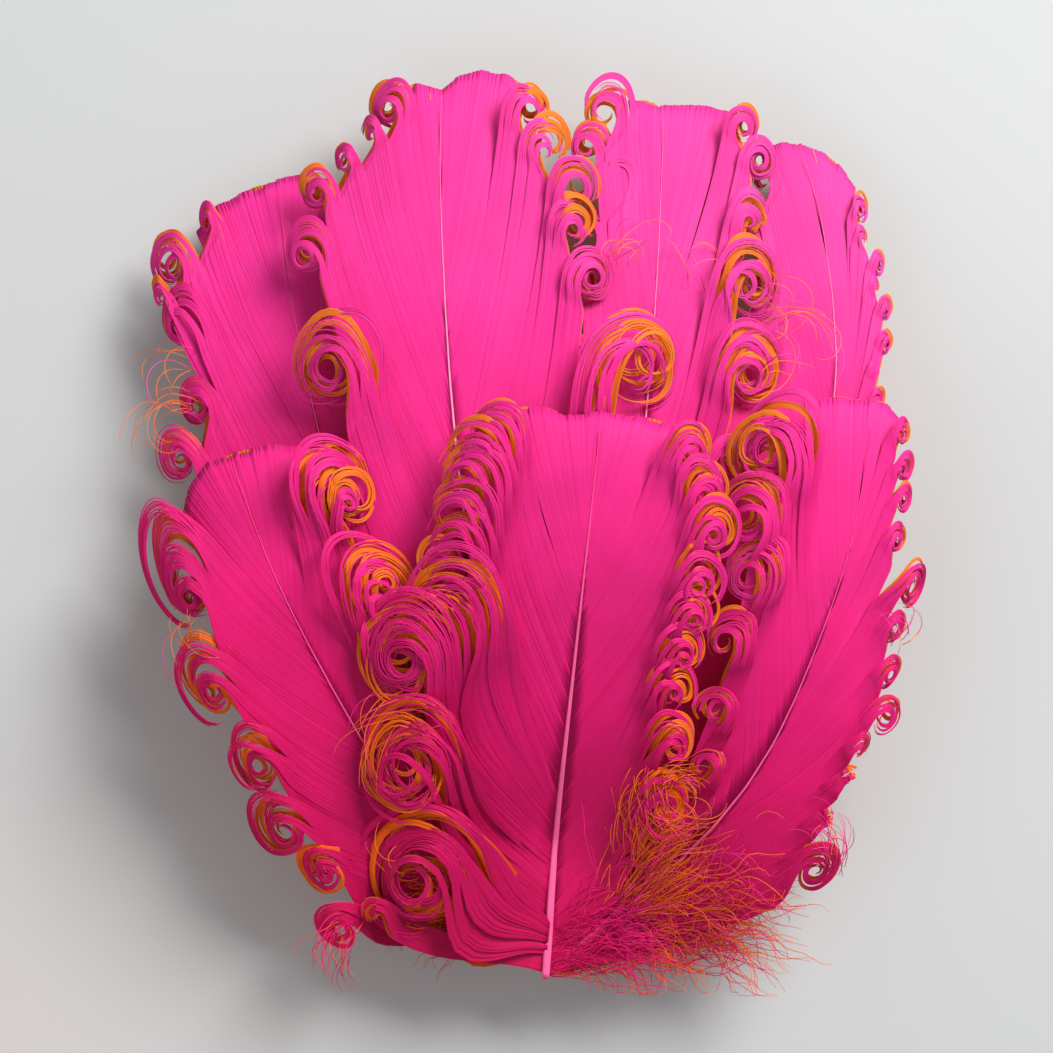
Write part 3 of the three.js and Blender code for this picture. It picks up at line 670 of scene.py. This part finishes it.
def bezier(root, leave, end, arrive, count):
    """Smooth curves (n, count, 2) from root to end, with the directions they leave and arrive in."""
    handle = np.linalg.norm(end - root, axis=1)[:, None] * 0.36
    first, second = root + leave * handle, end - arrive * handle
    s = np.linspace(0, 1, count)[None, :, None]
    return (
        (1 - s) ** 3 * root[:, None] + 3 * (1 - s) ** 2 * s * first[:, None]
        + 3 * (1 - s) * s**2 * second[:, None] + s**3 * end[:, None]
    )


def leaving(ahead, aim, side, splay):
    """The direction in which a barb leaves the quill: straight at its aim at splay 1, along it at 0."""
    cross = ahead[:, 0] * aim[:, 1] - ahead[:, 1] * aim[:, 0]
    angle = np.abs(np.arctan2(cross, (ahead * aim).sum(1)))
    return turn(ahead, -side * np.clip(angle * splay, math.radians(5), math.radians(75)))


def barb_sizes(blade, spot, count, rng):
    """The width and height of each barb at each of its points; spot is 0 at the quill and 2 at its tip."""
    at = [0, 0.6, 1.0, 1.8, 2]
    values = blade[[0, 0, 1, 1, 2]]
    sizes = np.stack([np.interp(spot, at, values[:, i]) for i in range(2)], -1)
    return sizes * rng.uniform(0.88, 1.1, count)[:, None, None]


def lock_axes(quill, side, eye, outer, middle_root):
    """How a lock lies: the direction of the nearest quill, the direction from its eye towards the quill, and
    how far its barbs run parallel to the quill."""
    nearest = np.argmin(np.linalg.norm(quill.dense[:, :2] - eye, axis=1))
    along = unit(quill.tangents[nearest, :2])
    parallel = 0.6 * np.clip((np.linalg.norm(eye - middle_root) / MM - 15) / 20, 0, 1)
    heading = unit(eye - middle_root)
    for _ in range(3):
        quillward = np.array([-heading[1], heading[0]]) * side
        heading = unit(eye + quillward * outer * 0.8 - middle_root)
    heading = unit((1 - parallel) * heading + parallel * along)
    return along, np.array([-heading[1], heading[0]]) * side, parallel


def tufted(k, band, orange, under, rng):
    """How barbs at shares k of a ribbon lie across it, from 0 inside to 1 outside.

    Tufts of barbs cling together, with gaps between them, and a wider gap shows the other colour. Also
    returns each barb's tuft, the number of tufts, and a random number for each barb's tuft.
    """
    tufts = max(2, int(round(band / TUFT_WIDTH)))
    tuft = np.minimum((k * tufts).astype(int), tufts - 1)
    middle = (tuft + 0.5) / tufts
    tuft_step = rng.normal(0, 1, tufts)[tuft]
    spread = middle + (k - middle) * 0.88 + 0.08 / tufts * tuft_step
    if under:
        spread = np.interp(spread, [0, 0.35, 0.4, 1], [0, 0.35, 0.48, 0.8])
    else:
        spread = np.interp(spread, [0, 0.72, 0.78, 1], [0, 0.72 - 0.3 * min(orange, 1), 0.8, 1])
    return spread, tuft, tufts, tuft_step


def lock_heights(quill, curve, r, angle, shape, outer, tilt, orange, tuft_step, under):
    """The heights of a lock's barbs, which rise off the vane just before their spiral and lean over it."""
    lift = shape["lift"] * 2 * outer * math.sin(tilt)
    lift = lift + (0.35 * MM if shape["lift"] else 0) + 0.12 * tuft_step * MM
    to_go = np.linalg.norm(curve - curve[:, -1:], axis=-1)
    ramp = np.clip(1 - to_go / ((2.0 if under else 2.4) * outer), 0, 1)
    surface = quill.height(curve) + eased(ramp) * lift[:, None]
    if under and shape["lift"]:
        surface = surface + ORANGE_RISE * orange * np.clip(1 - to_go / (0.6 * outer), 0, 1) ** 2
    tail, first = angle[:, 1:], angle[:, :1]
    spiral = (
        surface[:, -1:]
        + math.sin(tilt) * (r[:, 1:] * np.cos(tail) - r[:, :1] * np.cos(first))
        + math.sin(math.radians(shape["nod"])) * (r[:, 1:] * np.sin(tail) - r[:, :1] * np.sin(first))
        - shape["sink"] * outer * (tail - first) / (2 * np.pi)
    )
    return np.concatenate([surface, spiral], axis=1)


def lock_paths(quill, side, lock, before, stretch, shape, under, rng):
    """The barbs of one lock; before is the lock below it, or None.

    The barbs run side by side up the vane, just inside the lock before. Then they gather into a ribbon and
    curl round their lock's eye.
    """
    x, y, radius, width, turns, orange = lock[:6]
    shown_orange = min(orange, 1)
    rise = (lock[6] if len(lock) > 6 else USUAL_RISE * radius) * MM
    usual_tilt = shape["tilt"] + (SMALL_TILT if radius < 3 else 0)
    tilt = math.radians(lock[7] if len(lock) > 7 else usual_tilt)
    eye = np.array([x, y]) * MM
    if under and shape["lift"]:
        eye = eye + ORANGE_SHIFT * shown_orange * np.array([side * 0.5, 1])
    outer, band = radius * MM, max(width, LEAST_BAND * radius) * MM
    pitch = ORANGE_BARB_PITCH if under else PINK_BARB_PITCH
    ribbon_pitch = RIBBON_BARB_PITCH * (1.4 if under else 1.0)
    middle_root = quill.at((stretch[0] + stretch[1]) / 2)[:2]
    along, quillward, parallel = lock_axes(quill, side, eye, outer, middle_root)

    # The barbs: how many, and where each leaves the quill.
    nearest_line = -0.1 * outer
    if before:
        nearest_line = (
            before[2] * MM - (eye - np.array(before[:2]) * MM) @ quillward - LOCK_OVERLAP * outer
        )
    nearest_line = min(nearest_line, outer - band)
    count = (stretch[1] - stretch[0]) * quill.length / pitch
    count = int(max(8, count, band / ribbon_pitch, (outer - nearest_line) / (1.9 * ribbon_pitch)))
    k = (np.arange(count) + 0.5 + rng.uniform(-0.3, 0.3, count)) / count
    share = stretch[0] + (stretch[1] - stretch[0]) * (np.arange(count) + 0.5) / count
    root = quill.at(share)[:, :2]
    ahead = unit(quill.at(share, quill.tangents)[:, :2])

    # The radius at which each joins the spiral.
    spread, tuft, tufts, tuft_step = tufted(k, band, orange, under, rng)
    if orange > 1 and not under:
        outer *= 1.5 - 0.6 * orange
    ring = outer - band * (1 - spread) + rng.normal(0, 0.015, count) * band
    stray = rng.random(count) < STRAY_SHARE
    ring = np.where(stray, ring * rng.uniform(0.8, 1.3, count), ring)

    # The spiral's own axes, the angle at which each barb meets its circle, and how far it turns.
    tipward = unit(0.75 * along + 0.25 * unit(eye - root.mean(0)))
    inward = np.array([-tipward[1], tipward[0]]) * side
    away = root - eye - tipward * rise * np.clip(spread, 0, 1)[:, None]
    distance = np.linalg.norm(away, axis=1)
    bearing = np.arctan2(away @ tipward, away @ inward)
    begin = bearing + np.arccos(np.clip(ring / distance, 0, 0.98)) + 0.16
    begin = np.clip(begin, -0.9, 1.1)
    sweep = turns * 2 * np.pi * ((outer - band / 2) / ring) ** 0.55 - 0.6 * begin
    sweep = sweep * np.clip(1.12 - 0.3 * k, 0.6, 1.3) + 0.75 * tuft_step * (turns > 0.7)
    if not under:
        sweep = sweep * np.where(spread < 0.7, 1 - 0.4 * shown_orange, 1)
    sweep = np.clip(sweep + rng.normal(0, 0.3, count) + (0.3 if under else 0.0), 0.3, 9.5)

    # The spiral: it shrinks as it turns, round a centre that settles from the rise into the eye.
    t = np.linspace(0, 1, SPIRAL_POINTS)
    turned = sweep[:, None] * t
    angle = begin[:, None] + turned
    shrink = SPIRAL_SHRINK * (1 + 0.15 * rng.normal(0, 1, tufts)[tuft])[:, None]
    r = ring[:, None] * np.exp(-shrink * turned / (2 * np.pi))
    drift = rng.normal(0, 0.085, (tufts, 2))[tuft] * outer + rng.normal(0, 0.012, (count, 2)) * outer
    risen = rise * np.clip(spread, 0, 1)[:, None] * eased(np.clip(1 - turned / 3.4, 0, 1))
    wobble = 0.05 * ring[:, None] * np.sin(2.3 * angle + rng.uniform(0, 6.28, tufts)[tuft][:, None])
    flat = (
        (eye + drift)[:, None]
        + inward * (r * np.cos(angle))[..., None] * math.cos(tilt)
        + tipward * (r * np.sin(angle) + risen + wobble)[..., None]
    )

    # The way there: side by side up the vane, then gathered.
    start = flat[:, 0]
    line = nearest_line + (outer - nearest_line) * (1.2 * k - 0.1)
    approach = eye + quillward * line[:, None] + tipward * rise * k[:, None]
    length = 1.1 * outer + 1.3 * np.abs(ring - line)
    length = np.minimum(length, 0.6 * np.linalg.norm(approach - root, axis=1))
    inbound = unit((1 - parallel) * unit(approach - root) + parallel * along)
    gather = approach - inbound * length[:, None]
    leave = leaving(ahead, unit(gather - root), side, 0.7 + 0.6 * parallel)
    on = unit((0.5 + 0.3 * parallel) * inbound + (0.5 - 0.3 * parallel) * unit(gather - root))
    curve = np.concatenate([
        bezier(root, leave, gather, on, VANE_POINTS),
        bezier(gather, on, start, unit(flat[:, 1] - start), GATHER_POINTS)[:, 1:],
    ], axis=1)
    plan = np.concatenate([curve, flat[:, 1:]], axis=1)

    z = lock_heights(quill, curve, r, angle, shape, outer, tilt, shown_orange, tuft_step, under)
    z = z + rng.uniform(-0.03, 0.03, count)[:, None] * MM + (k[:, None] - 0.5) * 0.1 * MM
    for _ in range(3):
        z[:, 1:-1] = (z[:, :-2] + 2 * z[:, 1:-1] + z[:, 2:]) / 4

    on_spiral = np.broadcast_to(1 + t[1:], (count, SPIRAL_POINTS - 1))
    spot = np.concatenate([to_spot(curve), on_spiral], axis=1)
    paths = np.concatenate([plan, z[..., None]], axis=-1)
    sizes = barb_sizes(ORANGE_BLADE if under else PINK_BLADE, spot, count, rng)
    return barbs(paths, sizes, 0.5 * rng.normal(0, 1, count) + 0.35 * tuft_step, spot)


def down_paths(quill, side, down, under, rng):
    """The loose, wavy barbs round a feather's base, as (pink count, orange count, angles, lengths)."""
    pink_count, orange_count, angles, lengths = down
    count = orange_count if under else pink_count
    root = quill.at(rng.uniform(0.0, 0.1, count))
    angle = np.radians(rng.uniform(*angles, count))
    length = rng.uniform(*lengths, count) * MM * (1 - 0.35 * rng.random(count))
    s = np.linspace(0, 1, LOOSE_POINTS)[None]
    bend = rng.normal(0, 0.8, count)[:, None] * s**2 + 0.25 * side * -(s**2)
    for frequency, size in ((6, 0.5), (13, 0.5), (23, 0.45)):
        phase = rng.uniform(0, 6.28, count)[:, None]
        bend = bend + size * s * np.sin(frequency * s * rng.uniform(0.8, 1.2, count)[:, None] + phase)
    direction = angle[:, None] + bend
    step = (length / (LOOSE_POINTS - 1))[:, None]
    x = root[:, :1] + np.cumsum(np.cos(direction) * step, axis=1)
    y = root[:, 1:2] + np.cumsum(np.sin(direction) * step, axis=1)
    rise = rng.uniform(-5, 3.5, count)[:, None] * MM
    wave_height = 0.8 * MM * np.sin(7 * s + rng.uniform(0, 6.28, count)[:, None]) * s
    z = quill.height(np.stack([x, y], -1)) + rise * s + wave_height
    y = np.maximum(y, DOWN_LOWEST_Y)
    spot = np.broadcast_to(0.9 + 1.1 * s, (count, LOOSE_POINTS))
    paths = np.stack([x, y, z], -1)
    return barbs(paths, barb_sizes(DOWN_BLADE, spot, count, rng), rng.normal(0.5, 1, count), spot)


def wisp_paths(quill, wisp, under, rng):
    """Single barbs that stray from a lock in wide loops."""
    pink_count, orange_count, (x, y), degrees, lengths, radii = wisp
    count = orange_count if under else pink_count
    start = np.array([x, y]) * MM + rng.normal(0, 1.2, (count, 2)) * MM
    s = np.linspace(0, 1, LOOSE_POINTS)[None]
    length = rng.uniform(*lengths, count)[:, None] * MM
    curve = length / (rng.uniform(*radii, count)[:, None] * MM)
    phase = rng.uniform(0, 6.28, count)[:, None]
    direction = math.radians(degrees) + rng.normal(0, 0.35, count)[:, None]
    direction = direction + curve * s**1.6 + 0.25 * np.sin(7 * s + phase)
    plan = np.stack([
        start[:, :1] + np.cumsum(np.cos(direction), axis=1) * length / LOOSE_POINTS,
        start[:, 1:] + np.cumsum(np.sin(direction), axis=1) * length / LOOSE_POINTS,
    ], -1)
    z = quill.height(plan) + (3.2 + 1.5 * np.sin(5 * s + phase)) * MM * np.minimum(1, 4 * s)
    spot = np.broadcast_to(1 + s, (count, LOOSE_POINTS))
    paths = np.concatenate([plan, z[..., None]], axis=-1)
    return barbs(paths, barb_sizes(WISP_BLADE, spot, count, rng), rng.normal(1, 1, count), spot)


def to_spot(curve):
    """How far along each flat curve its points are, from 0 to 1."""
    steps = np.linalg.norm(np.diff(curve, axis=1), axis=-1)
    lengths = np.concatenate([np.zeros((len(curve), 1)), np.cumsum(steps, axis=1)], axis=1)
    return lengths / lengths[:, -1:]


def barbs(paths, sizes, own, spot):
    """The arrays of a set of barbs: own is each barb's own tone, around 0."""
    paths[..., 2] = np.maximum(paths[..., 2], FLOOR_CLEARANCE)
    sizes[:, 0] *= ROOT_WIDTH
    # Painted shade: reach makes the tone darker towards the pad's bottom and lighter towards its top, as if
    # the light from above fell less on the lower feathers.
    reach = np.clip((paths[..., 1] / MM + 45) / 110, 0, 1)
    own_weight = 0.035 + 0.05 * np.clip(2 * spot - 1.4, 0, 1)
    # Painted light: the x term makes the tone lighter towards the pad's right, where the light comes from.
    # own_weight adds each barb's own random tone.
    tone = 0.16 + 0.62 * reach + 0.08 * paths[..., 0] / (60 * MM) + own_weight * own[:, None]
    tone = tone + 0.1 * np.clip(spot - 0.8, 0, 1)
    return {"paths": paths, "sizes": sizes, "tone": np.clip(tone, 0, 1)}


def crown_paths(quill, side, crown, stretch, under, rng):
    """The straight barbs at the top of a vane, from near the quill's tip to the crown line."""
    line = np.array(crown) * MM
    lengths = line_lengths(line)
    pitch = ORANGE_BARB_PITCH if under else PINK_BARB_PITCH
    count = int(max(12, (stretch[1] - stretch[0]) * quill.length / pitch, lengths[-1] / (0.6 * pitch)))
    k = (np.arange(count) + 0.5) / count
    share = stretch[0] + (stretch[1] - stretch[0]) * k
    root = quill.at(share)[:, :2]
    ahead = unit(quill.at(share, quill.tangents)[:, :2])
    place = k * lengths[-1]
    end = np.stack([np.interp(place, lengths, line[:, i]) for i in range(2)], -1)
    tuft = (k * max(2, lengths[-1] / (2.2 * MM))).astype(int)
    short = np.abs(rng.normal(0, 0.3, tuft.max() + 1))[tuft] + np.abs(rng.normal(0, 0.1, count))
    aim = unit(end - root)
    end = end - aim * short[:, None] * MM
    curve = bezier(root, leaving(ahead, aim, side, 1.1), end, unit(aim - 0.1 * (aim - ahead)), FLAT_POINTS)
    fine = np.linspace(0, 1, FLAT_POINTS)
    dense = np.linspace(0, 1, CROWN_POINTS)
    plan = np.stack([[np.interp(dense, fine, row[:, i]) for i in range(2)] for row in curve])
    plan = plan.transpose(0, 2, 1)
    z = quill.height(plan) + rng.uniform(-0.05, 0.05, count)[:, None] * MM
    z = z - CROWN_DROOP * to_spot(plan) ** 7
    spot = to_spot(plan) * 0.7
    blade = ORANGE_BLADE if under else PINK_BLADE
    paths = np.concatenate([plan, z[..., None]], axis=-1)
    return barbs(paths, barb_sizes(blade, spot, count, rng), rng.normal(0, 0.5, count), spot)


def make_feather(name, number):
    for under in (True, False):
        color = "orange" if under else "pink"
        node = f"{name}_{color}"
        quill = Quill(f"{node}_quill", 0.0 if under else GLUE_COVERS.get(name, 0.0))
        shaft = quill_piece(f"{node}_shaft", quill, QUILL_LOOKS[name], MATERIALS[f"{color}_quill"])
        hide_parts(f"{node}_quill")
        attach(shaft, "root")
        for side_name, side in (("left", -1), ("right", 1)):
            rng = np.random.default_rng([SEED, number, under, side + 1])
            shape_name, start, locks, crown = FEATHERS[name][side_name]
            locks = with_fillers(locks)
            stretches = vane_shares(quill, locks, crown, start * MM / quill.length)
            parts = [
                lock_paths(quill, side, lock, before, stretch, SHAPES[shape_name], under, rng)
                for lock, before, stretch in zip(locks, [None, *locks], stretches)
            ]
            parts.append(crown_paths(quill, side, crown, stretches[-1], under, rng))
            if (name, side_name) in DOWN:
                parts.append(down_paths(quill, side, DOWN[name, side_name], under, rng))
            for wisp in WISPS.get((name, side_name), ()):
                parts.append(wisp_paths(quill, wisp, under, rng))
            vane = blades(f"{node}_{side_name}_barbs", parts, MATERIALS[f"{color}_vane"])
            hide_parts(f"{node}_{side_name}_vane")
            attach(vane, "root")


# ---- Backing and glue --------------------------------------------------------------------------------


def wave(place, rng, count, longest):
    """Soft noise at places (..., 2), from -1 to 1: a sum of waves in random directions."""
    total = np.zeros(place.shape[:-1])
    for _ in range(count):
        angle, length = rng.uniform(0, 6.28), longest * rng.uniform(0.3, 1)
        along = place @ np.array([math.cos(angle), math.sin(angle)])
        total = total + np.sin(2 * np.pi * along / length + rng.uniform(0, 6.28))
    return total / count


def oval_sheet(name, half_size, bottom, top, roundness, relief, edge, material):
    """A closed oval plate of cloth; relief gives how high its upper face stands at each place."""
    rings, sides = 110, 400
    angle = np.linspace(0, 2 * np.pi, sides, endpoint=False)
    share = np.linspace(0, 1, rings + 1)[1:] ** 0.9
    around = np.stack([np.cos(angle), np.sin(angle)], -1)
    plan = share[:, None, None] * around * half_size * edge(angle)[:, None]
    middle, depth = (top + bottom) / 2, (top - bottom) / 2
    inset = np.clip((1 - share) * half_size[0] / roundness, 0, 1)
    fullness = np.sqrt(1 - (1 - inset) ** 2)[:, None]
    upper = middle + (depth + relief(plan)) * fullness
    lower = np.broadcast_to(middle - depth * fullness, upper.shape)
    lower_rings = np.concatenate([plan, lower[..., None]], -1)[:-1]
    rim = np.concatenate([plan[-1], np.full((sides, 1), middle)], -1)
    upper_rings = np.concatenate([plan, upper[..., None]], -1)[-2::-1]
    ends = [[0, 0, bottom], [0, 0, top + relief(np.zeros((1, 2)))[0]]]
    return capped_mesh(name, np.concatenate([lower_rings, rim[None], upper_rings]), ends, material)


def edge_threads(name, starts, headings, lengths, girth, rng, material):
    """Short loose threads that stand out from a sheet's edge; starts are (n, 3) and headings (n, 2)."""
    count, points = len(starts), 7
    s = np.linspace(0, 1, points)
    bend = rng.normal(0, 0.7, (count, 1)) * s
    heading = np.arctan2(headings[:, 1], headings[:, 0])[:, None] + bend
    step = lengths[:, None] / (points - 1)
    x = starts[:, :1] + np.cumsum(np.cos(heading) * step, axis=1) - step
    y = starts[:, 1:2] + np.cumsum(np.sin(heading) * step, axis=1) - step
    z = starts[:, 2:] + rng.uniform(-0.3, 0.25, (count, 1)) * lengths[:, None] * s
    z = np.maximum(z, FLOOR_CLEARANCE / 2)
    sizes = np.broadcast_to((girth * (1 - 0.5 * s))[None, :, None], (count, points, 2))
    spot = np.broadcast_to(s, (count, points))
    return blades(name, [{"paths": np.stack([x, y, z], -1), "sizes": sizes, "tone": spot}], material)


def around_oval(half_size, count, rng):
    """Places and outward directions at random round an oval."""
    angle = rng.uniform(0, 2 * np.pi, count)
    around = np.stack([np.cos(angle), np.sin(angle)], -1)
    return around * half_size, unit(around / half_size)


def make_felt():
    """The thick, slightly uneven oval of wool felt, with fibres along its cut edge."""
    rng = np.random.default_rng([SEED, 101])
    half_size = FELT_HALF_SIZE - FELT_EDGE_WANDER
    cut = rng.uniform(0, 6.28, 4)
    felt = oval_sheet(
        "felt_oval", half_size, 0.0, FELT_THICKNESS - 0.06 * MM, 0.5 * MM,
        lambda place: 0.05 * MM * wave(place, np.random.default_rng([SEED, 102]), 9, 5 * MM),
        lambda angle: 1 + 0.35 * FELT_EDGE_WANDER / half_size[0] * (
            np.sin(5 * angle + cut[0]) + np.sin(13 * angle + cut[1]) + np.sin(29 * angle + cut[2])
        ),
        MATERIALS["felt"],
    )
    place, outward = around_oval(half_size - 0.1 * MM, FELT_FIBRES, rng)
    starts = np.concatenate([place, rng.uniform(0.3, 0.9, (FELT_FIBRES, 1)) * FELT_THICKNESS], -1)
    lengths = rng.uniform(0.4, 1.3, FELT_FIBRES) * MM
    fibres = edge_threads(
        "felt_edge_fibres", starts, turn(outward, rng.normal(0, 0.9, FELT_FIBRES)), lengths,
        0.035 * MM, rng, MATERIALS["felt"],
    )
    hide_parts("felt_backing")
    for piece in (felt, fibres):
        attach(piece, "root")


def make_buckram():
    """The stiff woven oval on the felt: warp and weft stand out in relief, and their cut ends fray."""
    rng = np.random.default_rng([SEED, 103])
    bottom, top = FELT_THICKNESS, FELT_THICKNESS + BUCKRAM_THICKNESS

    def weave(place):
        x, y = np.pi * place[..., 0] / BUCKRAM_THREAD_PITCH, np.pi * place[..., 1] / BUCKRAM_THREAD_PITCH
        over = np.sin(x) * np.sin(y)
        return 0.1 * MM * (np.abs(np.cos(x)) * (1 + over) + np.abs(np.cos(y)) * (1 - over) - 2)

    half_size = BUCKRAM_HALF_SIZE - 0.4 * MM
    buckram = oval_sheet(
        "buckram_oval", half_size, bottom, top, 0.25 * MM, weave, np.ones_like, MATERIALS["buckram"],
    )
    place, outward = around_oval(half_size - 0.2 * MM, BUCKRAM_ENDS, rng)
    across = np.abs(outward[:, 0]) > np.abs(outward[:, 1])
    heading = np.where(across[:, None], np.sign(outward) * [1, 0], np.sign(outward) * [0, 1])
    starts = np.concatenate([place, rng.uniform(0.3, 0.7, (BUCKRAM_ENDS, 1)) * (top - bottom) + bottom], -1)
    lengths = rng.uniform(0.5, 1.5, BUCKRAM_ENDS) * MM
    ends = edge_threads(
        "buckram_frayed_ends", starts, heading, lengths, 0.16 * MM, rng, MATERIALS["buckram"],
    )
    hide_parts("buckram_base")
    for piece in (buckram, ends):
        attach(piece, "root")


def make_glue(node):
    """Hardened hot glue: the CAD strip's outline with its corners melted round and its surface lumpy."""
    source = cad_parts[node]
    bead = link(bpy.data.objects.new(f"{node}_bead", source.data.copy()))
    remesh = bead.modifiers.new("melt", "REMESH")
    remesh.mode = "VOXEL"
    remesh.voxel_size = 0.2 * MM
    smooth = bead.modifiers.new("round", "SMOOTH")
    smooth.factor = 0.7
    smooth.iterations = 22
    depsgraph = bpy.context.evaluated_depsgraph_get()
    mesh = bpy.data.meshes.new_from_object(bead.evaluated_get(depsgraph))
    bead.modifiers.clear()
    bead.data = mesh
    points = np.zeros(len(mesh.vertices) * 3, np.float32)
    mesh.vertices.foreach_get("co", points)
    points = points.reshape(-1, 3).astype(float)
    rng = np.random.default_rng([SEED, 104])
    points[:, 2] += 0.16 * MM * wave(points[:, :2], rng, 6, 3 * MM)
    points[:, 1] += 0.2 * MM * wave(points[:, [0, 2]], rng, 6, 4 * MM)
    mesh.vertices.foreach_set("co", points.astype(np.float32).ravel())
    mesh.update()
    mesh.shade_smooth()
    mesh.materials.clear()
    mesh.materials.append(MATERIALS["glue"])
    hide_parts(node)
    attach(bead, "root")


# ---- The pad -----------------------------------------------------------------------------------------

MATERIALS = {
    # The barbs' ramps hold both dye and painted light: the low tones, which the pad's bottom takes, are
    # painted shade, and the high tones at its top and right are painted light.
    "pink_vane": barb_material("pink_barbs", [
        (0.0, (0.56, 0.001, 0.05)), (0.4, (0.86, 0.006, 0.18)),
        (0.7, (1.0, 0.03, 0.34)), (1.0, (1.0, 0.1, 0.52)),
    ]),
    "orange_vane": barb_material("orange_barbs", [
        (0.0, (1.0, 0.1, 0.003)), (0.5, (1.0, 0.19, 0.012)), (1.0, (1.0, 0.3, 0.04)),
    ]),
    "pink_quill": quill_material("pink_quill", (1.0, 0.035, 0.28), (1.0, 0.5, 0.72)),
    "orange_quill": quill_material("orange_quill", (1.0, 0.3, 0.02), (1.0, 0.6, 0.3)),
    "felt": felt_material(),
    "buckram": buckram_material(),
    "glue": glue_material(),
}

make_camera()
make_light()
for number, feather_name in enumerate(FEATHERS):
    make_feather(feather_name, number)

make_felt()
make_buckram()
make_glue("back_row_glue")
make_glue("front_row_glue")

floor_points = np.array([[-3, -3, 0], [3, -3, 0], [3, 3, 0], [-3, 3, 0]], float)
floor = mesh_object("table", floor_points, np.array([[0, 1, 2, 3]]), floor_material())
floor.location.z = -0.05 * MM
